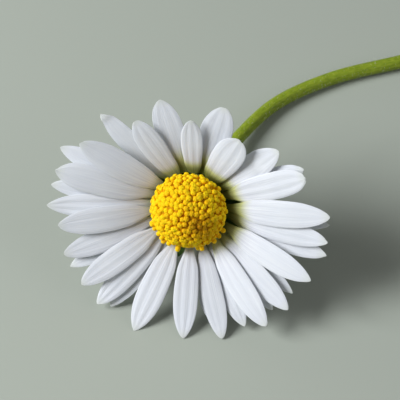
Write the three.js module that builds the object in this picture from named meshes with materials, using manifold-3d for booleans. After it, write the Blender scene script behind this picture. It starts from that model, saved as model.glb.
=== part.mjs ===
// A common lawn daisy (Bellis perennis), picked and lying on a surface, in millimetres, +Z up.
// The flower head leans on its lowest petals, and its cut stem arcs down behind it and lies flat.

import * as THREE from "three";
import { LoftGeometry } from "three/addons/geometries/LoftGeometry.js";
import { mergeVertices } from "three/addons/utils/BufferGeometryUtils.js";
import Module from "manifold-3d";

// ---- driving dimensions ----

// The head: its centre is the middle of the ring that the petals grow from.
const HEAD_HEIGHT = 6.6; // centre above the surface
const HEAD_ELEVATION = 40; // degrees that the face looks up from level
const HEAD_SWING = 13.6; // degrees that the face turns left of straight ahead (-Y)
const HEAD_TOP = 49; // degrees from level of the direction that counts as the top of the head

// The ray florets, called petals here. Heights are along the head's own axis.
const RAY_BASE_RADIUS = 2.85;
const RAY_BASE_HEIGHT = -0.45; // of the middle layer
const RAY_TIP_HEIGHT = 2.3; // of the middle layer
const RAY_BASE_STEP = 0.32; // from one layer to the next at the base
const RAY_TIP_STEP = 0.5; // and at the tip
const RAY_RISE = 34; // degrees that a petal climbs as it leaves the head
const RAY_KNEE = 0.35; // share of its reach over which it climbs so steeply
const RAY_THICKNESS = 0.22;
const RAY_CAMBER = 0.12; // how far the edges bend down below the middle
const RAY_CLAW = 0.27; // width at the base, as a share of the full width
const RAY_WIDEST = 0.62; // where along its length a petal is widest
const RAY_SHOULDER = 0.78; // less than 1 widens it sooner after the claw
const RAY_TIP_WIDTH = 0.05; // of the end of the tip, as a share of the full width
const RAY_TIP_FINE = 1.75; // power of the tip's curve for a pointed petal
const RAY_TIP_BLUNT = 3.4; // and for a square-ended one
const RAY_TIP_ROUND = 0.7;
const RAY_BLUNTNESS = 0.2; // of an ordinary tip, from 0 for pointed to 1 for square-ended
const RAY_STATIONS = 10;
const RAY_SIDES = 8;

// The disc: a dome packed with tiny tubular florets.
const DISC_RADIUS = 3.0;
const DISC_UNDERSIDE = 0.6; // height of its flat underside
const DISC_UNDERSIDE_RADIUS = 2.4;
const DISC_RIM = 0.8; // height of its widest circle
const DISC_TOP = 3.3;
const DISC_SIDES = 24;
const DISC_STEPS = 6;
const FLORET_COUNT = 130;
const FLORET_RADIUS = 0.29;
const FLORET_LEAN = 1.25; // more than 1 turns the florets more towards the front

// The green bracts that cup the head from behind.
const BRACT_COUNT = 13;
const BRACT_WIDTH = 1.28;
const BRACT_THICKNESS = 0.26;
const BRACT_CUP = 0.1; // how far the edges bend up above the middle
const BRACT_STATIONS = 8;
const BRACT_SIDES = 6;
const BRACT_TURN = 0.25; // of the way from one bract to the next, where the first one grows

// Radius and height of a bract's middle line, from its foot to its tip.
const BRACT_LINE = [[1.45, -3.05], [2.25, -2.65], [2.95, -1.95], [3.75, -1.0], [4.75, -0.2]];

// Its width, as a share of the full width, at shares of its length.
const BRACT_OUTLINE = [[0, 0.42], [0.2, 0.7], [0.42, 1], [0.7, 0.9], [0.9, 0.5], [1, 0.12]];

// The stem and the receptacle that it swells into, which carries the florets and the bracts.
const STEM_SIDES = 12;
const STEM_RADIUS = 0.6;
const STEM_END_RADIUS = 0.66;
const STEM_SLIM_FROM = 9; // distance back at which it is slimmest
const STEM_STEP = 1.8; // between its sections, beyond the receptacle
const RECEPTACLE_TOP = 0.4; // above the middle of the petal ring

// Its radius at distances back from the top of the receptacle.
const STEM_PROFILE = [
  [0, 1.5],
  [0.2, 2.2],
  [0.6, 2.5],
  [1.5, 2.62],
  [2.1, 2.45],
  [2.6, 2.15],
  [3.1, 1.55],
  [3.6, 1.12],
  [4.3, 0.88],
  [5.6, 0.7],
];

// Where the stem runs behind the head, from its cut end, with the head's middle at x = y = 0.
const STEM_ROUTE = [
  [42, 21.2, 0.66],
  [34, 21.6, 0.64],
  [26, 21, 0.62],
  [18, 19.1, 0.61],
  [12.7, 17.5, 0.62],
  [7.75, 14.75, 0.74],
  [4.5, 11.1, 1.1],
  [2.3, 7.4, 1.85],
];

// Heights on the head's axis that it then passes.
const STEM_HEIGHTS = [-4, -2.6, -1.2];

// ---- small helpers ----

const rad = THREE.MathUtils.degToRad;
const mix = THREE.MathUtils.lerp;
const AXIS = new THREE.Vector3(0, 0, 1);
const GOLDEN_ANGLE = Math.PI * (3 - Math.sqrt(5));

function material(color, roughness) {
  return new THREE.MeshStandardMaterial({ color, roughness, metalness: 0 });
}

// The value at a position in a list of [position, value] pairs, with straight lines between.
function along(pairs, position) {
  const next = pairs.findIndex(([x]) => x >= position);
  if (next <= 0) {
    return next === 0 ? pairs[0][1] : pairs[pairs.length - 1][1];
  }
  const [x0, y0] = pairs[next - 1];
  const [x1, y1] = pairs[next];
  return mix(y0, y1, (position - x0) / (x1 - x0));
}

// ---- the head's own frame ----

const daisy = new THREE.Group();
const head = new THREE.Group();
head.position.set(0, 0, HEAD_HEIGHT);
const faceAxis = new THREE.Vector3(
  -Math.sin(rad(HEAD_SWING)) * Math.cos(rad(HEAD_ELEVATION)),
  -Math.cos(rad(HEAD_SWING)) * Math.cos(rad(HEAD_ELEVATION)),
  Math.sin(rad(HEAD_ELEVATION)),
);
const upAxis = new THREE.Vector3(0, Math.cos(rad(HEAD_TOP)), Math.sin(rad(HEAD_TOP)));
upAxis.addScaledVector(faceAxis, -upAxis.dot(faceAxis)).normalize();
const sideAxis = new THREE.Vector3().crossVectors(upAxis, faceAxis);
head.quaternion.setFromRotationMatrix(
  new THREE.Matrix4().makeBasis(sideAxis, upAxis, faceAxis),
);
daisy.add(head);

// ---- petals ----

// Half the width at s, from 0 at the base to 1 at the tip, as a share of the greatest half width.
function rayOutline(s, blunt) {
  if (s < RAY_WIDEST) {
    const risen = Math.pow(s / RAY_WIDEST, RAY_SHOULDER);
    return mix(RAY_CLAW, 1, Math.sin((Math.PI / 2) * risen));
  }
  const past = (s - RAY_WIDEST) / (1 - RAY_WIDEST);
  const fallen = Math.pow(past, mix(RAY_TIP_FINE, RAY_TIP_BLUNT, blunt));
  return Math.max(RAY_TIP_WIDTH, Math.pow(1 - fallen, RAY_TIP_ROUND));
}

// One petal as a cambered blade: x runs outwards, y across and z along the head's axis.
function rayGeometry({ reach, width, climb, bend, blunt }) {
  const knee = RAY_KNEE * reach;
  const line = new THREE.QuadraticBezierCurve(
    new THREE.Vector2(0, 0),
    new THREE.Vector2(knee, knee * Math.tan(rad(RAY_RISE))),
    new THREE.Vector2(reach, climb),
  );
  const sections = [];
  for (let i = 0; i < RAY_STATIONS; i += 1) {
    const s = 0.5 - 0.5 * Math.cos((Math.PI * i) / (RAY_STATIONS - 1));
    const centre = line.getPointAt(s);
    const slope = line.getTangentAt(s);
    const share = rayOutline(s, blunt);
    const half = 0.5 * width * share;
    const section = [];
    for (let j = 0; j < RAY_SIDES; j += 1) {
      const angle = (2 * Math.PI * j) / RAY_SIDES;
      const across = half * Math.cos(angle);
      const thick = 0.5 * RAY_THICKNESS * Math.sqrt(share) * Math.sin(angle);
      const up = thick - RAY_CAMBER * share * Math.cos(angle) ** 2;
      section.push(
        new THREE.Vector3(centre.x - slope.y * up, across + bend * s * s, centre.y + slope.x * up),
      );
    }
    sections.push(section);
  }
  return new LoftGeometry(sections, { closed: true, capStart: true, capEnd: true });
}

// Each petal as it grew, going round the head anticlockwise from its right side:
// bearing in degrees, radius of the tip, width, and layer, negative at the back and positive at
// the front. Some also have a sideways bend at the tip, a lift of the tip, a roll in degrees
// about their own length, or a bluntness of their own.
const RAYS = [
  { bearing: 3, tip: 12.4, width: 2.4, layer: 1 },
  { bearing: 21, tip: 11.1, width: 2.4, layer: 0.7, blunt: 1 },
  { bearing: 24, tip: 10.9, width: 1.9, layer: -1, blunt: 0.8 },
  { bearing: 36, tip: 9.9, width: 2.4, layer: -0.2, roll: -5 },
  { bearing: 56, tip: 8.5, width: 2.7, layer: 1, blunt: 0.4 },
  { bearing: 72, tip: 10.0, width: 2.8, layer: -1, bend: -0.15, blunt: 0.4 },
  { bearing: 87, tip: 8.4, width: 1.9, layer: 0 },
  { bearing: 102.5, tip: 10.1, width: 2.5, layer: -1, bend: 0.15, blunt: 0.5 },
  { bearing: 118.5, tip: 9.2, width: 2.2, layer: 0 },
  { bearing: 129.5, tip: 11.2, width: 2.0, layer: -1, roll: -8 },
  { bearing: 146, tip: 10.9, width: 2.5, layer: 1 },
  { bearing: 155.5, tip: 12.2, width: 2.0, layer: -1, roll: 5 },
  { bearing: 163, tip: 11.8, width: 2.5, layer: 0.3, blunt: 0.8 },
  { bearing: 170, tip: 12.0, width: 1.9, layer: -1, bend: 0.15 },
  { bearing: 179, tip: 12.1, width: 2.1, layer: -0.2 },
  { bearing: 187.5, tip: 11.2, width: 2.3, layer: 1 },
  { bearing: 202.5, tip: 11.55, width: 2.1, layer: 0, roll: 5 },
  { bearing: 209, tip: 11.6, width: 1.7, layer: -1, roll: 6 },
  { bearing: 216, tip: 11.3, width: 2.2, layer: 1 },
  { bearing: 227, tip: 11.6, width: 2.1, layer: 0, bend: 0.1 },
  { bearing: 234.5, tip: 11.15, width: 1.7, layer: -1, roll: 8 },
  { bearing: 247, tip: 11.4, width: 2.4, layer: 1, lift: 0.1 },
  { bearing: 269, tip: 11.0, width: 2.15, layer: 1, lift: -0.08 },
  { bearing: 281, tip: 9.8, width: 1.6, layer: -1.3, bend: -0.2, roll: -8 },
  { bearing: 286, tip: 11.5, width: 2.0, layer: 0, lift: -0.12 },
  { bearing: 295.5, tip: 11.1, width: 1.9, layer: -1, roll: -5 },
  { bearing: 306, tip: 11.8, width: 2.2, layer: 1, bend: 0.12 },
  { bearing: 312.5, tip: 11.1, width: 1.7, layer: -1, bend: -0.12 },
  { bearing: 318, tip: 11.9, width: 2.1, layer: 0 },
  { bearing: 322, tip: 11.3, width: 1.5, layer: -1.6, roll: -6 },
  { bearing: 334.8, tip: 11.9, width: 2.2, layer: 1 },
  { bearing: 346, tip: 12.4, width: 2.0, layer: -1, bend: -0.12 },
  { bearing: 352, tip: 12.3, width: 2.1, layer: 0 },
  { bearing: 358, tip: 12.2, width: 1.7, layer: -1.6 },
];

function addRays() {
  RAYS.forEach((ray, index) => {
    const { bearing, tip, width, layer, bend = 0, lift = 0, roll = 0 } = ray;
    const base = RAY_BASE_HEIGHT + layer * RAY_BASE_STEP;
    const peak = RAY_TIP_HEIGHT + layer * RAY_TIP_STEP + lift;
    const shape = rayGeometry({
      reach: tip - RAY_BASE_RADIUS,
      width,
      climb: peak - base,
      bend,
      blunt: ray.blunt ?? RAY_BLUNTNESS,
    });
    const petal = new THREE.Mesh(shape, material(0xf1f3f8, 0.55));
    petal.name = `ray_${String(index + 1).padStart(2, "0")}`;
    petal.position.set(RAY_BASE_RADIUS, 0, base);
    petal.rotation.x = rad(roll);
    const spoke = new THREE.Group();
    spoke.rotation.z = rad(bearing);
    spoke.add(petal);
    head.add(spoke);
  });
}

// ---- disc florets ----

// The dome's outline as radius and height, from the middle of the top to the rim.
function domePoint(turn) {
  return new THREE.Vector2(
    DISC_RADIUS * Math.sin(turn),
    mix(DISC_RIM, DISC_TOP, Math.cos(turn)),
  );
}

async function addDisc() {
  const wasm = await Module();
  wasm.setup();
  const solid = (geometry) => {
    geometry.deleteAttribute("normal");
    geometry.deleteAttribute("uv");
    const merged = mergeVertices(geometry);
    return new wasm.Manifold(
      new wasm.Mesh({
        numProp: 3,
        vertProperties: merged.attributes.position.array,
        triVerts: new Uint32Array(merged.index.array),
      }),
    );
  };

  const outline = [
    new THREE.Vector2(0, DISC_UNDERSIDE),
    new THREE.Vector2(DISC_UNDERSIDE_RADIUS, DISC_UNDERSIDE),
  ];
  for (let i = DISC_STEPS; i >= 0; i -= 1) {
    outline.push(domePoint((Math.PI / 2) * (i / DISC_STEPS)));
  }
  const dome = new THREE.LatheGeometry(outline, DISC_SIDES);
  dome.rotateX(Math.PI / 2);
  let joined = solid(dome);

  for (let k = 0; k < FLORET_COUNT; k += 1) {
    const share = (k + 0.5) / FLORET_COUNT;
    const turn = Math.acos(1 - share);
    const spot = domePoint(turn);
    const outwards = new THREE.Vector3(spot.x, 0, FLORET_LEAN * (spot.y - DISC_RIM)).normalize();
    const bud = new THREE.SphereGeometry(FLORET_RADIUS, 5, 2);
    bud.rotateX(Math.PI / 2);
    bud.applyQuaternion(new THREE.Quaternion().setFromUnitVectors(AXIS, outwards));
    bud.translate(spot.x, 0, spot.y);
    bud.rotateZ(k * GOLDEN_ANGLE);
    joined = joined.add(solid(bud));
  }

  const { vertProperties, triVerts } = joined.getMesh();
  const shape = new THREE.BufferGeometry();
  shape.setAttribute("position", new THREE.BufferAttribute(vertProperties, 3));
  shape.setIndex(new THREE.BufferAttribute(triVerts, 1));
  shape.computeVertexNormals();
  const disc = new THREE.Mesh(shape, material(0xf2bb12, 0.7));
  disc.name = "disc_florets";
  head.add(disc);
}

// ---- bracts ----

// One bract as a curved green blade that hugs the underside of the head.
function bractGeometry() {
  const line = new THREE.CatmullRomCurve3(
    BRACT_LINE.map(([radius, height]) => new THREE.Vector3(radius, 0, height)),
  );
  const sections = [];
  for (let i = 0; i < BRACT_STATIONS; i += 1) {
    const s = i / (BRACT_STATIONS - 1);
    const centre = line.getPointAt(s);
    const slope = line.getTangentAt(s);
    const half = 0.5 * BRACT_WIDTH * along(BRACT_OUTLINE, s);
    const section = [];
    for (let j = 0; j < BRACT_SIDES; j += 1) {
      const angle = (2 * Math.PI * j) / BRACT_SIDES;
      const thick = 0.5 * BRACT_THICKNESS * Math.sin(angle);
      const up = thick + BRACT_CUP * Math.cos(angle) ** 2;
      section.push(
        new THREE.Vector3(
          centre.x - slope.z * up,
          half * Math.cos(angle),
          centre.z + slope.x * up,
        ),
      );
    }
    sections.push(section);
  }
  return new LoftGeometry(sections, { closed: true, capStart: true, capEnd: true });
}

function addBracts() {
  for (let i = 0; i < BRACT_COUNT; i += 1) {
    const bract = new THREE.Mesh(bractGeometry(), material(0x4f7a24, 0.7));
    bract.name = `bract_${String(i + 1).padStart(2, "0")}`;
    bract.rotation.z = (2 * Math.PI * (i + BRACT_TURN)) / BRACT_COUNT;
    head.add(bract);
  }
}

// ---- stem and receptacle ----

// The stem's middle line, from its cut end to the top of the receptacle.
function stemLine() {
  const points = STEM_ROUTE.map(([x, y, z]) => new THREE.Vector3(x, y, z));
  for (const height of [...STEM_HEIGHTS, RECEPTACLE_TOP]) {
    points.push(head.position.clone().addScaledVector(faceAxis, height));
  }
  return new THREE.CatmullRomCurve3(points, false, "centripetal");
}

function addStem() {
  const line = stemLine();
  const length = line.getLength();
  const profile = [...STEM_PROFILE, [STEM_SLIM_FROM, STEM_RADIUS], [length, STEM_END_RADIUS]];
  const distances = STEM_PROFILE.map(([distance]) => distance);
  while (distances.at(-1) < length - 1.5 * STEM_STEP) {
    distances.push(distances.at(-1) + STEM_STEP);
  }
  distances.push(length);
  distances.reverse();

  let across = new THREE.Vector3(0, 0, 1);
  const sections = distances.map((distance) => {
    const place = 1 - distance / length;
    const centre = line.getPointAt(place);
    const ahead = line.getTangentAt(place);
    across = across.addScaledVector(ahead, -across.dot(ahead)).normalize();
    const other = new THREE.Vector3().crossVectors(ahead, across);
    const radius = along(profile, distance);
    const section = [];
    for (let j = 0; j < STEM_SIDES; j += 1) {
      const angle = (2 * Math.PI * j) / STEM_SIDES;
      section.push(
        centre
          .clone()
          .addScaledVector(across, radius * Math.cos(angle))
          .addScaledVector(other, radius * Math.sin(angle)),
      );
    }
    return section;
  });
  const shape = new LoftGeometry(sections, { closed: true, capStart: true, capEnd: true });
  const stem = new THREE.Mesh(shape, material(0x75883a, 0.65));
  stem.name = "stem";
  daisy.add(stem);
}

// ---- the whole flower ----

addRays();
await addDisc();
addBracts();
addStem();

// The flower stands on the surface at z = 0, centred over the origin.
daisy.updateMatrixWorld(true);
const box = new THREE.Box3().setFromObject(daisy, true);
daisy.position.set(
  -(box.min.x + box.max.x) / 2,
  -(box.min.y + box.max.y) / 2,
  -box.min.z,
);
const part = new THREE.Group();
part.add(daisy);

export default part;
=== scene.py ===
"""A picked lawn daisy lying on a pale studio floor, seen from above its face."""

import math
import random

import bmesh
import bpy
from mathutils import Matrix, Quaternion, Vector


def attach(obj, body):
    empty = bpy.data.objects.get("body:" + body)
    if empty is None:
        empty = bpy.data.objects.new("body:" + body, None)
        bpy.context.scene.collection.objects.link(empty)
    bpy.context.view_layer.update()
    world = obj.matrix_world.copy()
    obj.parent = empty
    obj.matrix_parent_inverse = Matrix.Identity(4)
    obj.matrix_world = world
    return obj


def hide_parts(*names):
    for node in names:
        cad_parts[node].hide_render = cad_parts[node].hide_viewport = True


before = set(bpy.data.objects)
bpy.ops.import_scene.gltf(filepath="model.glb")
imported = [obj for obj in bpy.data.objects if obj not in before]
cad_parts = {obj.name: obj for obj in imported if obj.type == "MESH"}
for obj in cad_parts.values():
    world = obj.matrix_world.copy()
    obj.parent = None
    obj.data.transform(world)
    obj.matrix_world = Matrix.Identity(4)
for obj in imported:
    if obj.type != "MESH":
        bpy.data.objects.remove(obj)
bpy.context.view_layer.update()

MM = 0.001

# What the CAD model's sections are made of.
RAY_SIDES = 8
BRACT_SIDES = 6
STEM_SIDES = 12
DISC_UNDERSIDE = 0.6 * MM  # height of the disc's flat underside above the petal ring
DISC_RIM = 0.8  # millimetres from the petal ring up to the disc's widest circle
DISC_RIGHT = Vector((0.984, -0.136, 0.118))  # the head's right, seen from the front
SAME_PLANE = 0.995  # cosine of the angle between two faces that count as one flat face

# The camera looks down on the lying flower from in front of it.
CAMERA_ELEVATION = 58
CAMERA_DISTANCE = 210 * MM
VIEW_WIDTH = 34.2 * MM  # what the picture spans at the flower head
SENSOR_WIDTH = 36
AIM_RIGHT, AIM_UP = 0.77, 0.6  # millimetres from the head's middle to the picture's middle

# The studio.
FLOOR_REACH = 2.0
WORLD_COLOUR = (0.96, 0.98, 1.0)
WORLD_STRENGTH = 0.15

# Petals.
RAY_ROWS = 48
RAY_COLUMNS = 20
RAY_THICKNESS = 0.11 * MM
LOW_WAIST, HIGH_WAIST = 0.62, 1.2  # base widths of low and high petals, as shares of the CAD's
RAGGED = {13: 0.3 * MM, 2: 0.14 * MM}  # how deep some petals' tips are toothed
GREEN_AND_SHADE_SIDE = Vector((0.75, 0.3, 0.35)).normalized()  # where the petals' bases are greenest and darkest: green tint with painted shadow of the disc
GREEN_AND_SHADE_LEAST = 0.35  # how much green tint and painted shadow the bases on the other side get, as a share of that
DEEP = (6, 8)  # back petals whose green tint and painted shade reach out between their neighbours
DEEP_FADE = 0.42  # how far along them it reaches
# Painted shade: these petals' colour is multiplied by these factors, standing in for the shade that
# their tilt gets.
SHADE_PAINTED_PETALS = {6: 0.93, 8: 0.93, 11: 0.95, 13: 0.93, 16: 0.95, 17: 0.88, 23: 0.88, 25: 0.86}

# Bracts.
BRACT_ROWS = 24
BRACT_COLUMNS = 12
BRACT_THICKNESS = 0.2 * MM
BRACT_WAIST, BRACT_WAIST_END = 1.22, 0.85  # wide bases close the cup behind the petals

# Hairs.
HAIR_RADIUS = 0.011 * MM
HAIR_CLEARANCE = 0.03 * MM  # least height of a hair's tip above the floor
STEM_HAIRS = 1300
STEM_HAIR_LENGTH = 0.32 * MM
BRACT_HAIRS = 46  # on each bract
BRACT_HAIR_LENGTH = 0.3 * MM

# Disc.
FLORET_COLUMNS = 20
FLORET_COUNT = 300
DOME_SPREAD = 1.06  # above 1, the lowest florets sit just below the disc's widest circle
OPEN_FROM = 0.52  # share of the florets, from the middle, that are still closed buds
HEART_COLUMNS = 48
HEART_INSET = 0.3  # millimetres from the florets' tips down to the solid heart
# The heart's underside: shares of its width, and millimetres above the petal ring.
HEART_BASE = ((0, 0.62), (0.8, 0.62), (0.95, 0.72))
DULL_AND_SHADED_SPOT = (0.36, -0.22)  # right and up of the disc's middle, where the buds are dullest, with painted shade there
DULL_AND_SHADED_SIZE = 0.36  # both as shares of the disc's radius
DULL_AND_SHADED_DEPTH = 0.92  # how much of a bud's tone the dullness and painted shade take away there
LOLLING_FROM = 0.66  # share from which some florets loll out over the petals
LOLLING_BELOW = -0.3  # and how low they grow, as a share of the disc's radius
LOLLING_CHANCE = 0.4
LOLLING_STRETCH = 1.85

# Stem.
STEM_COLUMNS = 40
STEM_STEP = 0.35 * MM
NECK = 6 * MM  # length of the stem's upper end, where it swells into the receptacle
NECK_STEP = 0.16 * MM
STEM_RIBS = 7
RIB_DEPTH = 0.018  # as a share of the stem's radius
# Rings of the cut end: shares of the radius, and millimetres that they are sunk.
CUT_RINGS = ((0.86, -0.03), (0.6, 0.05), (0.3, 0.14))


# ---- small helpers ----


def smooth(low, high, value):
    """0 below low, 1 above high, with a soft step between."""
    share = min(1.0, max(0.0, (value - low) / (high - low)))
    return share * share * (3 - 2 * share)


def mix(a, b, share):
    return a + (b - a) * share


class Spline:
    """A smooth curve through values (numbers or vectors) at increasing knots."""

    def __init__(self, knots, values):
        self.knots = knots
        self.values = values
        last = len(values) - 1
        self.slopes = []
        for i in range(last + 1):
            low, high = max(0, i - 1), min(last, i + 1)
            self.slopes.append((values[high] - values[low]) / (knots[high] - knots[low]))

    def at(self, place):
        i = 0
        while i < len(self.knots) - 2 and place > self.knots[i + 1]:
            i += 1
        width = self.knots[i + 1] - self.knots[i]
        u = (place - self.knots[i]) / width
        rise = u * u * (3 - 2 * u)
        leave = u * (1 - u) ** 2 * width
        arrive = u * u * (u - 1) * width
        start, end = self.values[i], self.values[i + 1]
        return start + (end - start) * rise + self.slopes[i] * leave + self.slopes[i + 1] * arrive


def arc_knots(points):
    """Each point's distance along the line through them, from 0 to 1."""
    reached = [0.0]
    for a, b in zip(points, points[1:]):
        reached.append(reached[-1] + (b - a).length)
    return [value / reached[-1] for value in reached]


def mesh_piece(name, points, faces, material, values=None):
    """A smooth-shaded mesh that rides on the root body, with numbers stored at its points."""
    mesh = bpy.data.meshes.new(name)
    mesh.from_pydata(points, [], faces)
    for key, numbers in (values or {}).items():
        mesh.attributes.new(key, "FLOAT", "POINT").data.foreach_set("value", numbers)
    mesh.polygons.foreach_set("use_smooth", [True] * len(mesh.polygons))
    mesh.materials.append(material)
    mesh.update()
    piece = bpy.data.objects.new(name, mesh)
    bpy.context.collection.objects.link(piece)
    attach(piece, "root")
    return piece


# ---- reading the CAD model ----


def merged(node):
    """A CAD node's mesh with the corners that its faces share joined."""
    shape = bmesh.new()
    shape.from_mesh(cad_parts[node].data)
    bmesh.ops.remove_doubles(shape, verts=shape.verts, dist=1e-6)
    shape.verts.index_update()
    shape.normal_update()
    return shape


def in_order(verts):
    """A set of corners in the mesh's own order, so that every run adds them up alike."""
    return sorted(verts, key=lambda vert: vert.index)


def flat_patches(shape):
    """The mesh's faces in groups that touch and lie in one plane."""
    left = set(shape.faces)
    patches = []
    for first in shape.faces:
        if first not in left:
            continue
        left.discard(first)
        patch, edge_faces = [first], [first]
        while edge_faces:
            face = edge_faces.pop()
            for edge in face.edges:
                for other in edge.link_faces:
                    if other in left and other.normal.dot(first.normal) > SAME_PLANE:
                        left.discard(other)
                        patch.append(other)
                        edge_faces.append(other)
        patches.append(patch)
    return patches


def rings(node, sides, near):
    """A lofted CAD node's rings of points, from the end that is nearest to a point."""
    shape = merged(node)
    for patch in flat_patches(shape):
        ring = {vert for face in patch for vert in face.verts}
        seen = set()
        found = []
        while ring:
            found.append([vert.co.copy() for vert in in_order(ring)])
            seen |= ring
            ring = {edge.other_vert(vert) for vert in ring for edge in vert.link_edges} - seen
        if all(len(loop) == sides for loop in found):
            break
    shape.free()
    if (middle(found[0]) - near).length > (middle(found[-1]) - near).length:
        found.reverse()
    return found


def middle(points):
    points = list(points)
    return sum(points, Vector()) / len(points)


def disc_frame():
    """The head's axis and the middle of its petal ring, from the disc's flat underside."""
    shape = merged("disc_florets")
    underside = max(flat_patches(shape), key=lambda patch: sum(f.calc_area() for f in patch))
    axis = -underside[0].normal
    corners = in_order({vert for face in underside for vert in face.verts})
    centre = middle(vert.co for vert in corners)
    spread = [v.co - centre for v in shape.verts]
    top = max(p.dot(axis) for p in spread)
    reach = max((p - axis * p.dot(axis)).length for p in spread)
    shape.free()
    return axis.normalized(), centre - axis * DISC_UNDERSIDE, top + DISC_UNDERSIDE, reach


AXIS, CENTRE, DISC_TOP, DISC_REACH = disc_frame()
DISC_UP = AXIS.cross(DISC_RIGHT)


# ---- materials ----


class Shader:
    """A node material with a Principled shader, and short ways to add nodes to it."""

    def __init__(self, name, **sockets):
        self.material = bpy.data.materials.new(name)
        self.material.use_nodes = True
        self.tree = self.material.node_tree
        self.surface = self.tree.nodes["Principled BSDF"]
        for key, value in sockets.items():
            self.surface.inputs[key.replace("_", " ")].default_value = value

    def add(self, kind, **settings):
        node = self.tree.nodes.new("ShaderNode" + kind)
        for key, value in settings.items():
            setattr(node, key, value)
        return node

    def link(self, out, into):
        self.tree.links.new(out, into)

    def stored(self, name):
        return self.add("Attribute", attribute_name=name).outputs["Fac"]

    def maths(self, operation, a, b=0.0):
        node = self.add("Math", operation=operation)
        for value, socket in ((a, node.inputs[0]), (b, node.inputs[1])):
            if isinstance(value, (int, float)):
                socket.default_value = value
            else:
                self.link(value, socket)
        return node.outputs[0]

    def ramp(self, value, *stops):
        """Numbers or colours at places along a value."""
        node = self.add("ValToRGB")
        elements = node.color_ramp.elements
        while len(elements) < len(stops):
            elements.new(0.5)
        for element, (place, colour) in zip(elements, stops):
            element.position = place
            element.color = (*colour, 1) if isinstance(colour, tuple) else (colour,) * 3 + (1,)
        self.link(value, node.inputs[0])
        return node.outputs[0]

    def blend(self, share, a, b, how="MIX"):
        """Mixes two colours, each a colour socket or three numbers."""
        node = self.add("Mix", data_type="RGBA", blend_type=how)
        for value, socket in ((share, node.inputs[0]), (a, node.inputs[6]), (b, node.inputs[7])):
            if isinstance(value, tuple):
                socket.default_value = (*value, 1)
            elif isinstance(value, (int, float)):
                socket.default_value = value
            else:
                self.link(value, socket)
        return node.outputs[2]

    def noise(self, scale, detail=3.0, vector=None):
        node = self.add("TexNoise")
        node.inputs["Scale"].default_value = scale
        node.inputs["Detail"].default_value = detail
        if vector is None:
            vector = self.add("TexCoord").outputs["Object"]
        self.link(vector, node.inputs["Vector"])
        return node.outputs["Fac"]

    def grid(self, x, y, z):
        """A vector from three numbers."""
        node = self.add("CombineXYZ")
        for value, socket in zip((x, y, z), node.inputs):
            self.link(value, socket)
        return node.outputs[0]

    def bump(self, height, distance, strength=1.0):
        node = self.add("Bump")
        node.inputs["Strength"].default_value = strength
        node.inputs["Distance"].default_value = distance
        self.link(height, node.inputs["Height"])
        self.link(node.outputs[0], self.surface.inputs["Normal"])

    def colour(self, socket):
        self.link(socket, self.surface.inputs["Base Color"])
        return self.material


def petal_material():
    shader = Shader(
        "petal_white",
        Subsurface_Weight=0.18,
        Subsurface_Radius=(0.9, 0.95, 1.0),
        Subsurface_Scale=0.25 * MM,
        Specular_IOR_Level=0.25,
        Sheen_Weight=0.08,
        Sheen_Roughness=0.5,
    )
    along, across, seed, base_green_and_shade, painted_petal_shade = (
        shader.stored(key) for key in ("along", "across", "seed", "base_green_and_shade", "painted_petal_shade")
    )
    shift = shader.maths("MULTIPLY", seed, 40.0)
    fibres = shader.noise(
        1.0,
        2.0,
        shader.grid(
            shader.maths("MULTIPLY", along, 2.2), shader.maths("MULTIPLY", across, 9.0), shift
        ),
    )
    lines = shader.noise(
        1.0,
        1.0,
        shader.grid(
            shader.maths("MULTIPLY", along, 1.3), shader.maths("MULTIPLY", across, 16.0), shift
        ),
    )
    clouds = shader.noise(420.0, 3.0)
    colour = shader.ramp(
        along,
        (0.0, (0.78, 0.79, 0.79)),
        (0.3, (0.80, 0.815, 0.84)),
        (0.9, (0.82, 0.835, 0.87)),
        (1.0, (0.79, 0.81, 0.76)),
    )
    streak = shader.ramp(fibres, (0.35, (0.93, 0.935, 0.955)), (0.62, (1.0, 1.0, 1.0)))
    colour = shader.blend(0.8, colour, streak, "MULTIPLY")
    patch = shader.ramp(clouds, (0.3, (0.965, 0.97, 0.985)), (0.7, (1.0, 1.0, 1.0)))
    colour = shader.blend(1.0, colour, patch, "MULTIPLY")
    vein = shader.maths(
        "MULTIPLY",
        shader.ramp(lines, (0.47, 0.0), (0.57, 0.6)),
        shader.ramp(along, (0.08, 1.0), (0.55, 0.0)),
    )
    colour = shader.blend(vein, colour, (0.52, 0.52, 0.62))
    # Green tint at the petals' bases that darkens to olive: painted shadow of the disc, strongest
    # on one side.
    green_and_shade = shader.ramp(
        base_green_and_shade, (0.0, (1.0, 1.0, 1.0)), (0.5, (0.72, 0.73, 0.28)), (1.0, (0.22, 0.23, 0.02))
    )
    colour = shader.blend(1.0, colour, green_and_shade, "MULTIPLY")
    # Painted shade: some petals are dimmed as a whole.
    colour = shader.blend(1.0, colour, shader.grid(painted_petal_shade, painted_petal_shade, painted_petal_shade), "MULTIPLY")
    shader.link(shader.ramp(clouds, (0.2, 0.55), (0.8, 0.7)), shader.surface.inputs["Roughness"])
    shader.bump(fibres, 0.05 * MM, 0.5)
    return shader.colour(colour)


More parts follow.
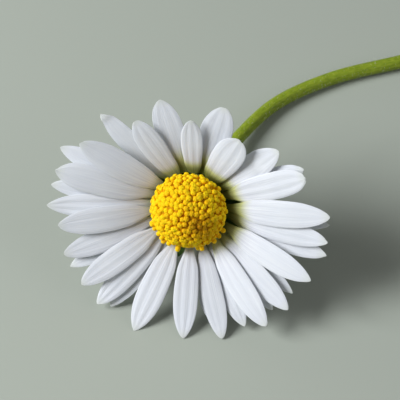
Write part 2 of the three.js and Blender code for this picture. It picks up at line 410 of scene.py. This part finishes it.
def floret_material():
    shader = Shader(
        "floret_yellow",
        Subsurface_Weight=0.4,
        Subsurface_Radius=(1.0, 0.6, 0.1),
        Subsurface_Scale=0.2 * MM,
        Specular_IOR_Level=0.1,
    )
    height, tone = shader.stored("height"), shader.stored("tone")
    # Deeper orange towards the florets' bases, darkened further as painted shade in the gaps
    # between them.
    rise = shader.ramp(
        height,
        (0.0, (0.50, 0.22, 0.002)),
        (0.5, (0.86, 0.47, 0.003)),
        (0.8, (0.95, 0.58, 0.004)),
        (1.0, (0.98, 0.64, 0.006)),
    )
    varied = shader.ramp(
        tone, (0.0, (0.40, 0.28, 0.25)), (0.45, (0.80, 0.72, 0.7)), (0.8, (1.0, 1.0, 1.0))
    )
    colour = shader.blend(1.0, rise, varied, "MULTIPLY")
    grains = shader.noise(9000.0, 2.0)
    shader.link(shader.ramp(grains, (0.3, 0.55), (0.7, 0.8)), shader.surface.inputs["Roughness"])
    shader.bump(grains, 0.02 * MM, 0.5)
    return shader.colour(colour)


def green_material(name, dark, light, pale):
    """Leafy green with fine streaks along it, and a pale colour where it is cut or edged."""
    shader = Shader(
        name,
        Subsurface_Weight=0.15,
        Subsurface_Radius=(0.5, 1.0, 0.2),
        Subsurface_Scale=0.2 * MM,
        Specular_IOR_Level=0.25,
        Sheen_Weight=0.1,
        Sheen_Roughness=0.4,
    )
    along, across, edge = (shader.stored(key) for key in ("along", "across", "edge"))
    fibres = shader.noise(
        1.0,
        3.0,
        shader.grid(
            shader.maths("MULTIPLY", along, 6.0), shader.maths("MULTIPLY", across, 8.0), edge
        ),
    )
    mottle = shader.noise(900.0, 3.0)
    colour = shader.blend(shader.ramp(fibres, (0.3, 0.0), (0.7, 1.0)), dark, light)
    shade = shader.ramp(mottle, (0.3, (0.8, 0.82, 0.75)), (0.7, (1.0, 1.0, 1.0)))
    colour = shader.blend(0.8, colour, shade, "MULTIPLY")
    colour = shader.blend(edge, colour, pale)
    shader.link(shader.ramp(mottle, (0.3, 0.45), (0.7, 0.65)), shader.surface.inputs["Roughness"])
    shader.bump(fibres, 0.04 * MM, 0.5)
    return shader.colour(colour)


# ---- blades: petals and bracts ----


class Blade:
    """A CAD blade's middle line, edges and facing, as smooth curves from its base to its tip."""

    waist = 1.0  # width near the base, as a share of the CAD blade's
    waist_end = 0.32  # where along its length it has its full width again

    def __init__(self, node, sides):
        loops = rings(node, sides, CENTRE)
        out = middle(loops[-1]) - middle(loops[0])
        side = AXIS.cross(out).normalized()
        lefts, rights, mids, ups = [], [], [], []
        for loop in loops:
            left = max(loop, key=lambda p: p.dot(side))
            right = min(loop, key=lambda p: p.dot(side))
            inner = [p for p in loop if p not in (left, right)]
            ranked = sorted(inner, key=lambda p: p.dot(AXIS))
            half = len(ranked) // 2
            lefts.append(left)
            rights.append(right)
            mids.append(middle(inner))
            ups.append((middle(ranked[half:]) - middle(ranked[:half])).normalized())
        centres = [(a + b) / 2 for a, b in zip(lefts, rights)]
        knots = arc_knots(centres)
        self.middle = Spline(knots, mids)
        self.left = Spline(knots, lefts)
        self.right = Spline(knots, rights)
        self.up = Spline(knots, ups)

    def point(self, s, t, lift=0.0, pull=0.0):
        """The point at s along and t across, raised and drawn back by so much."""
        centre, left, right = self.middle.at(s), self.left.at(s), self.right.at(s)
        step = 0.01
        ahead = self.middle.at(min(1.0, s + step)) - self.middle.at(max(0.0, s - step))
        slim = mix(self.waist, 1.0, smooth(0.08, self.waist_end, s))
        place = centre + (left - right) * (t / 2 * slim) + ((left + right) / 2 - centre) * t * t
        return place + self.up.at(s).normalized() * lift - ahead.normalized() * pull

    def half_width(self, s):
        return (self.left.at(s) - self.right.at(s)).length / 2


def blade_mesh(blade, rows, columns, thickness, relief, trim):
    """Points, faces and stored numbers of a closed thin blade: a top and a bottom sheet that
    meet all round the outline."""
    points, faces = [], []
    along, across = [], []

    def sheet(direction, shared):
        index = {}
        for i in range(rows + 1):
            s = 0.5 - 0.5 * math.cos(math.pi * i / rows)
            for j in range(columns + 1):
                on_outline = i in (0, rows) or j in (0, columns)
                if on_outline and shared:
                    index[i, j] = shared[i, j]
                    continue
                t = math.sin(math.pi / 2 * (2 * j / columns - 1))
                belly = math.sqrt(max(0.0, 1 - t**6)) * math.sqrt(math.sin(math.pi * s))
                lift = relief(s, t) + direction * thickness / 2 * belly
                index[i, j] = len(points)
                points.append(blade.point(s, t, lift, trim(s, t)))
                along.append(s)
                across.append(t)
        for i in range(rows):
            for j in range(columns):
                face = [index[i, j], index[i + 1, j], index[i + 1, j + 1], index[i, j + 1]]
                faces.append(face if direction > 0 else face[::-1])
        return index

    top = sheet(1, None)
    sheet(-1, top)
    return points, faces, along, across


def make_petals():
    material = petal_material()
    for node in sorted(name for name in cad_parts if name.startswith("ray_")):
        number = int(node[-2:])
        chance = random.Random(number)
        blade = Blade(node, RAY_SIDES)
        groove = chance.uniform(0.008, 0.026) * MM
        drift = chance.uniform(-0.25, 0.25)
        ripple = chance.uniform(0.0, 0.035) * MM
        phase = chance.uniform(0, 6.28)
        curl = chance.uniform(-0.05, 0.18) * MM
        out = (blade.middle.at(1.0) - blade.middle.at(0.0)).normalized()
        # How much green base tint and painted shadow a petal gets, by the side it points to.
        side_green_and_shade = mix(GREEN_AND_SHADE_LEAST, 1, smooth(-0.6, 0.6, out.dot(GREEN_AND_SHADE_SIDE)))
        blade.waist = mix(LOW_WAIST, HIGH_WAIST, smooth(0.3, 0.8, out.dot(DISC_UP)))
        notch = chance.choice((0.0, 0.05, 0.12)) * MM
        notch_side = chance.uniform(-0.2, 0.2) * MM

        def relief(s, t):
            body = smooth(0.03, 0.3, s) * (1 - smooth(0.82, 1.0, s))
            ribs = groove * math.cos(math.pi * (3 * t + drift)) * (1 - 0.6 * t * t)
            veins = 0.006 * MM * math.cos(2 * math.pi * 5.5 * t + phase)
            wave = ripple * math.sin(9 * s + phase) * t * abs(t)
            surface = body * (ribs + veins + 0.05 * MM * t * t)
            return surface + wave * smooth(0.2, 0.6, s) + curl * smooth(0.7, 1, s) ** 2

        def trim(s, t):
            offset = (t * blade.half_width(s) - notch_side) / (0.22 * MM)
            teeth = RAGGED.get(number, 0) * (0.5 + 0.5 * math.cos(9 * t + 1))
            dent = notch * math.exp(-offset * offset) * smooth(0.8, 1, s)
            return dent + teeth * smooth(0.84, 1, s)

        points, faces, along, across = blade_mesh(
            blade, RAY_ROWS, RAY_COLUMNS, RAY_THICKNESS, relief, trim
        )
        seeds = [chance.random()] * len(points)
        # How far along the petal the green tint and painted shadow reach.
        fade = DEEP_FADE if number in DEEP else 0.1 + 0.2 * side_green_and_shade
        base_green_and_shade_values = [side_green_and_shade * (1 - smooth(0.05, fade, s - 0.03 * t * t)) for s, t in zip(along, across)]
        # Each petal's painted shade factor.
        painted_petal_shades = [SHADE_PAINTED_PETALS.get(number, 1.0)] * len(points)
        values = {"along": along, "across": across, "seed": seeds, "base_green_and_shade": base_green_and_shade_values, "painted_petal_shade": painted_petal_shades}
        petal = mesh_piece(f"petal_{number:02d}", points, faces, material, values)
        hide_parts(node)


def make_bracts():
    hairs = []
    material = green_material(
        "bract_green", (0.035, 0.085, 0.012), (0.085, 0.17, 0.03), (0.25, 0.33, 0.10)
    )
    for node in sorted(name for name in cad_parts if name.startswith("bract_")):
        number = int(node[-2:])
        chance = random.Random(100 + number)
        blade = Blade(node, BRACT_SIDES)
        blade.waist, blade.waist_end = BRACT_WAIST, BRACT_WAIST_END
        keel = chance.uniform(0.05, 0.08) * MM

        def relief(s, t):
            body = math.sin(math.pi * min(1, 1.1 * s)) if s < 0.9 else 0.0
            return -keel * math.exp(-((t / 0.22) ** 2)) * body + 0.03 * MM * math.cos(7 * t)

        points, faces, along, across = blade_mesh(
            blade, BRACT_ROWS, BRACT_COLUMNS, BRACT_THICKNESS, relief, lambda s, t: 0.0
        )
        edges = [0.5 * smooth(0.75, 1, abs(t)) for t in across]
        values = {"along": along, "across": across, "edge": edges}
        bract = mesh_piece(f"leaf_bract_{number:02d}", points, faces, material, values)
        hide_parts(node)
        for _ in range(BRACT_HAIRS):
            s, t = chance.uniform(0.08, 0.97), chance.uniform(-1, 1)
            root = blade.point(s, t, -0.05 * MM)
            ahead = (blade.middle.at(1.0) - blade.middle.at(0.5)).normalized()
            hairs.append((root, ahead * 0.4 - blade.up.at(s).normalized()))
    add_hairs("bract_hairs", "bract", hairs, BRACT_HAIR_LENGTH)


def add_hairs(name, slot_name, roots, length):
    """Fine tapered hairs, each from a root in a direction, as one piece."""
    chance = random.Random(name)
    shader = Shader("hair_" + slot_name, Roughness=0.6, Specular_IOR_Level=0.2)
    shade = shader.ramp(shader.noise(700.0), (0.3, (0.50, 0.56, 0.36)), (0.7, (0.74, 0.78, 0.62)))
    material = shader.colour(shade)
    points, faces = [], []
    for root, direction in roots:
        jitter = Vector([chance.uniform(-0.35, 0.35) for _ in range(3)])
        ahead = (direction.normalized() + jitter).normalized()
        side = ahead.orthogonal().normalized()
        other = ahead.cross(side)
        reach = length * chance.uniform(0.6, 1.3)
        tip = root + ahead * reach + side * reach * 0.25
        if tip.z < HAIR_CLEARANCE:
            continue
        first = len(points)
        for step, wide in ((-0.1, 1.0), (0.55, 0.7)):
            for k in range(3):
                angle = 2 * math.pi * k / 3
                spoke = side * math.cos(angle) + other * math.sin(angle)
                points.append(root + ahead * reach * step + spoke * HAIR_RADIUS * wide)
        points.append(tip)
        faces.append((first + 2, first + 1, first))
        for k in range(3):
            after = (k + 1) % 3
            low, low_after, high, high_after = (first + n for n in (k, after, 3 + k, 3 + after))
            faces.append((low, low_after, high_after, high))
            faces.append((high, high_after, first + 6))
    mesh_piece(name, points, faces, material)


# ---- disc ----


def turned(profile, columns, lobed):
    """A turned shape closed at both ends, with five lobes where the profile's third number
    is above 0. Gives points and faces."""
    points = [Vector((0, 0, profile[0][1]))]
    for radius, height, lobe in profile[1:-1]:
        for j in range(columns):
            angle = 2 * math.pi * j / columns
            dip = lobe * (1 - math.cos(5 * angle)) / 2
            wide = radius * (1 - lobed * dip)
            points.append(
                Vector((wide * math.cos(angle), wide * math.sin(angle), height - 0.08 * dip))
            )
    points.append(Vector((0, 0, profile[-1][1])))
    faces = []
    last = len(points) - 1
    levels = len(profile) - 2
    for j in range(columns):
        after = (j + 1) % columns
        faces.append((0, 1 + after, 1 + j))
        for i in range(levels - 1):
            low, high = 1 + i * columns, 1 + (i + 1) * columns
            faces.append((low + j, low + after, high + after, high + j))
        top = 1 + (levels - 1) * columns
        faces.append((top + j, top + after, last))
    return points, faces


# Radius, height and lobing in millimetres, from the hidden foot to the tip.
BUD = (
    (0, -0.42, 0),
    (0.2, -0.42, 0),
    (0.27, -0.15, 0),
    (0.3, -0.02, 0.1),
    (0.295, 0.07, 0.25),
    (0.25, 0.145, 0.5),
    (0.16, 0.195, 0.7),
    (0.06, 0.215, 0.5),
    (0, 0.195, 0),
)
OPEN_FLORET = (
    (0, -0.42, 0),
    (0.2, -0.42, 0),
    (0.22, -0.15, 0),
    (0.25, -0.02, 0.1),
    (0.28, 0.05, 0.4),
    (0.31, 0.09, 0.9),
    (0.29, 0.13, 0.9),
    (0.23, 0.13, 0.5),
    (0.205, 0.13, 0.1),
    (0.2, 0.17, 0),
    (0.215, 0.23, 0),
    (0.21, 0.29, 0),
    (0.17, 0.345, 0),
    (0.09, 0.375, 0),
    (0, 0.38, 0),
)


def dome_point(turn, angle, inset=0.0):
    """A point and the outward direction on the disc's dome, turn radians from its top."""
    side = AXIS.orthogonal().normalized()
    spoke = Quaternion(AXIS, angle) @ side
    rim = DISC_RIM * MM
    tall = DISC_TOP - rim
    place = CENTRE + spoke * (DISC_REACH * math.sin(turn)) + AXIS * (rim + tall * math.cos(turn))
    outward = (spoke * math.sin(turn) / DISC_REACH + AXIS * math.cos(turn) / tall).normalized()
    return place - outward * inset, outward


def make_disc():
    material = floret_material()
    chance = random.Random(7)
    golden = math.pi * (3 - math.sqrt(5))

    wide, top = DISC_REACH / MM - HEART_INSET, DISC_TOP / MM - HEART_INSET
    core = [(share * wide, height, 0) for share, height in HEART_BASE]
    for step in range(9, 0, -1):
        turn = math.radians(10 * step)
        core.append((wide * math.sin(turn), mix(DISC_RIM, top, math.cos(turn)), 0))
    core.append((0, top, 0))
    points, faces = turned(core, HEART_COLUMNS, 0.0)
    lean = AXIS.to_track_quat("Z", "Y").to_matrix().to_4x4()
    place = Matrix.Translation(CENTRE) @ lean @ Matrix.Scale(MM, 4)
    points = [place @ p for p in points]
    # The heart shows only in the gaps between florets, in a darker orange that is painted gap
    # shade.
    values = {"height": [0.35] * len(points), "tone": [0.4] * len(points)}
    heart = mesh_piece("disc_heart", points, faces, material, values)
    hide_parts("disc_florets")

    # Each kind's profile, the depth of its lobes, and how deep it sits in millimetres.
    kinds = {"closed_florets": (BUD, 0.35, 0.22), "open_florets": (OPEN_FLORET, 0.55, 0.38)}
    gathered = {name: ([], [], [], []) for name in kinds}
    for k in range(FLORET_COUNT):
        share = (k + 0.5) / FLORET_COUNT
        turn = math.acos(1 - DOME_SPREAD * share) + chance.uniform(-0.035, 0.035)
        angle = k * golden + chance.uniform(-0.05, 0.05) / max(0.3, math.sin(turn))
        opened = share + chance.uniform(-0.06, 0.06) > OPEN_FROM
        name = "open_florets" if opened else "closed_florets"
        profile, lobed, seat = kinds[name]
        size = mix(0.84, 1.0, smooth(0.0, 0.5, share)) * chance.uniform(0.92, 1.08)
        tall = size * (chance.uniform(0.9, 1.25) if opened else 1.0)
        inset = (seat + chance.uniform(-0.05, 0.05)) * MM
        spot, outward = dome_point(turn, angle, inset)
        right = (spot - CENTRE).dot(DISC_RIGHT) / DISC_REACH
        above = (spot - CENTRE).dot(DISC_UP) / DISC_REACH
        tilt = Vector([chance.uniform(-0.14, 0.14) for _ in range(3)])
        low_down = share > LOLLING_FROM and above < LOLLING_BELOW
        if low_down and chance.random() < LOLLING_CHANCE:
            tall *= LOLLING_STRETCH
        facing = (outward + tilt).to_track_quat("Z", "Y").to_matrix().to_4x4()
        spin = Matrix.Rotation(chance.uniform(0, 6.28), 4, "Z")
        scale = Matrix.Diagonal((size * MM, size * MM, tall * MM, 1))
        place = Matrix.Translation(spot) @ facing @ spin @ scale
        points, faces = turned(profile, FLORET_COLUMNS, lobed)
        all_points, all_faces, heights, tones = gathered[name]
        first = len(all_points)
        low, high = profile[0][1], max(level[1] for level in profile)
        # Duller buds with painted shade round one spot of the disc.
        away = (right - DULL_AND_SHADED_SPOT[0]) ** 2 + (above - DULL_AND_SHADED_SPOT[1]) ** 2
        dull_and_shaded = math.exp(-away / DULL_AND_SHADED_SIZE**2)
        tone = chance.uniform(0.6, 1.0) * (1 - DULL_AND_SHADED_DEPTH * dull_and_shaded)
        for p in points:
            all_points.append(place @ p)
            heights.append((p.z - low) / (high - low))
            tones.append(tone)
        all_faces.extend(tuple(first + v for v in face) for face in faces)
    for name, (points, faces, heights, tones) in gathered.items():
        values = {"height": heights, "tone": tones}
        florets = mesh_piece(name, points, faces, material, values)
        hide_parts("disc_florets")


# ---- stem ----


def make_stem():
    material = green_material(
        "stem_green", (0.20, 0.28, 0.012), (0.33, 0.41, 0.03), (0.50, 0.55, 0.22)
    )
    loops = rings("stem", STEM_SIDES, CENTRE)[::-1]
    centres = [middle(loop) for loop in loops]
    sizes = [sum((p - c).length for p in loop) / len(loop) for loop, c in zip(loops, centres)]
    knots = arc_knots(centres)
    line, radius = Spline(knots, centres), Spline(knots, sizes)
    length = sum((b - a).length for a, b in zip(centres, centres[1:]))
    neck = NECK / length

    stops = [0.0]
    while stops[-1] < 1:
        step = STEM_STEP if stops[-1] < 1 - neck else NECK_STEP
        stops.append(min(1.0, stops[-1] + step / length))
    points, faces = [], []
    along, across, edge = [], [], []
    aside = Vector((0, 0, 1))
    frames = []
    for s in stops:
        ahead = (line.at(min(1, s + 0.004)) - line.at(max(0, s - 0.004))).normalized()
        aside = (aside - ahead * aside.dot(ahead)).normalized()
        frames.append((line.at(s), ahead, aside, ahead.cross(aside), radius.at(s)))
    for s, (centre, ahead, aside, other, wide) in zip(stops, frames):
        ribbed = RIB_DEPTH * (1 - smooth(1 - neck, 1 - neck / 2, s))
        for j in range(STEM_COLUMNS):
            angle = 2 * math.pi * j / STEM_COLUMNS
            reach = wide * (1 - ribbed * (1 + math.cos(STEM_RIBS * angle)))
            points.append(centre + (aside * math.cos(angle) + other * math.sin(angle)) * reach)
            along.append(s * length / (3 * MM))
            across.append(abs(angle / math.pi - 1) * 1.5)
            edge.append(0.35 * smooth(0.012, 0.0, s))
    for i in range(len(stops) - 1):
        low, high = i * STEM_COLUMNS, (i + 1) * STEM_COLUMNS
        for j in range(STEM_COLUMNS):
            after = (j + 1) % STEM_COLUMNS
            faces.append((low + j, low + after, high + after, high + j))

    # The cut end: a pale face that sinks a little towards its middle.
    centre, ahead, aside, other, wide = frames[0]
    outer = list(range(STEM_COLUMNS))
    for share, sink in CUT_RINGS:
        first = len(points)
        for j in range(STEM_COLUMNS):
            angle = 2 * math.pi * j / STEM_COLUMNS
            spoke = (aside * math.cos(angle) + other * math.sin(angle)) * wide * share
            points.append(centre + spoke + ahead * sink * MM)
            along.append(0.0)
            across.append(share)
            edge.append(1.0 - 0.3 * (CUT_RINGS[0][0] - share))
        inner = list(range(first, first + STEM_COLUMNS))
        for j in range(STEM_COLUMNS):
            after = (j + 1) % STEM_COLUMNS
            faces.append((outer[j], inner[j], inner[after], outer[after]))
        outer = inner
    faces.append(tuple(reversed(outer)))
    top = (len(stops) - 1) * STEM_COLUMNS
    faces.append(tuple(top + j for j in range(STEM_COLUMNS)))
    values = {"along": along, "across": across, "edge": edge}
    stem = mesh_piece("flower_stem", points, faces, material, values)
    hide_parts("stem")

    chance = random.Random(3)
    roots = []
    hairy = [place for s, place in zip(stops, frames) if s < 1 - neck / 2]
    for _ in range(STEM_HAIRS):
        centre, ahead, aside, other, wide = chance.choice(hairy)
        angle = chance.uniform(0, 2 * math.pi)
        spoke = aside * math.cos(angle) + other * math.sin(angle)
        shift = ahead * chance.uniform(-0.2, 0.2) * MM
        roots.append((centre + spoke * wide * 0.97 + shift, spoke + ahead * 0.4))
    add_hairs("stem_hairs", "stem", roots, STEM_HAIR_LENGTH)


# ---- studio ----


def make_camera():
    tilt = math.radians(CAMERA_ELEVATION)
    ahead = Vector((0, math.cos(tilt), -math.sin(tilt)))
    right = Vector((1, 0, 0))
    up = right.cross(ahead)
    aim = CENTRE + right * AIM_RIGHT * MM + up * AIM_UP * MM
    data = bpy.data.cameras.new("camera")
    data.sensor_width = SENSOR_WIDTH
    data.lens = SENSOR_WIDTH * CAMERA_DISTANCE / VIEW_WIDTH
    data.clip_start = 10 * MM
    data.clip_end = 5
    camera = bpy.data.objects.new("camera", data)
    bpy.context.collection.objects.link(camera)
    camera.location = aim - ahead * CAMERA_DISTANCE
    camera.rotation_euler = ahead.to_track_quat("-Z", "Y").to_euler()
    bpy.context.scene.camera = camera


def area_light(name, direction, distance, size, power, colour):
    data = bpy.data.lights.new(name, "AREA")
    data.shape = "DISK"
    data.size = size
    data.energy = power
    data.color = colour
    light = bpy.data.objects.new(name, data)
    bpy.context.collection.objects.link(light)
    direction = Vector(direction).normalized()
    light.location = CENTRE + direction * distance
    light.rotation_euler = (-direction).to_track_quat("-Z", "Y").to_euler()


def make_studio():
    mesh = bpy.data.meshes.new("floor")
    r = FLOOR_REACH
    corners = [(-r, -r, 0), (r, -r, 0), (r, r, 0), (-r, r, 0)]
    mesh.from_pydata(corners, [], [(0, 1, 2, 3)])
    shader = Shader("floor_pale", Roughness=0.9, Specular_IOR_Level=0.1)
    cloud = shader.noise(6.0, 2.0)
    shade = shader.ramp(cloud, (0.3, (0.42, 0.45, 0.385)), (0.7, (0.44, 0.47, 0.405)))
    mesh.materials.append(shader.colour(shade))
    floor = bpy.data.objects.new("floor", mesh)
    bpy.context.collection.objects.link(floor)

    area_light("key", (-0.76, -0.08, 0.6), 0.35, 0.2, 1.6, (0.93, 0.96, 1.0))
    area_light("fill", (0.8, -0.25, 0.6), 0.5, 0.35, 0.28, (0.95, 0.97, 1.0))
    world = bpy.data.worlds.new("studio")
    world.use_nodes = True
    world.node_tree.nodes["Background"].inputs[0].default_value = (*WORLD_COLOUR, 1)
    world.node_tree.nodes["Background"].inputs[1].default_value = WORLD_STRENGTH
    scene = bpy.context.scene
    scene.world = world
    scene.view_settings.view_transform = "Standard"


make_camera()
make_studio()
make_petals()
make_disc()
make_bracts()
make_stem()
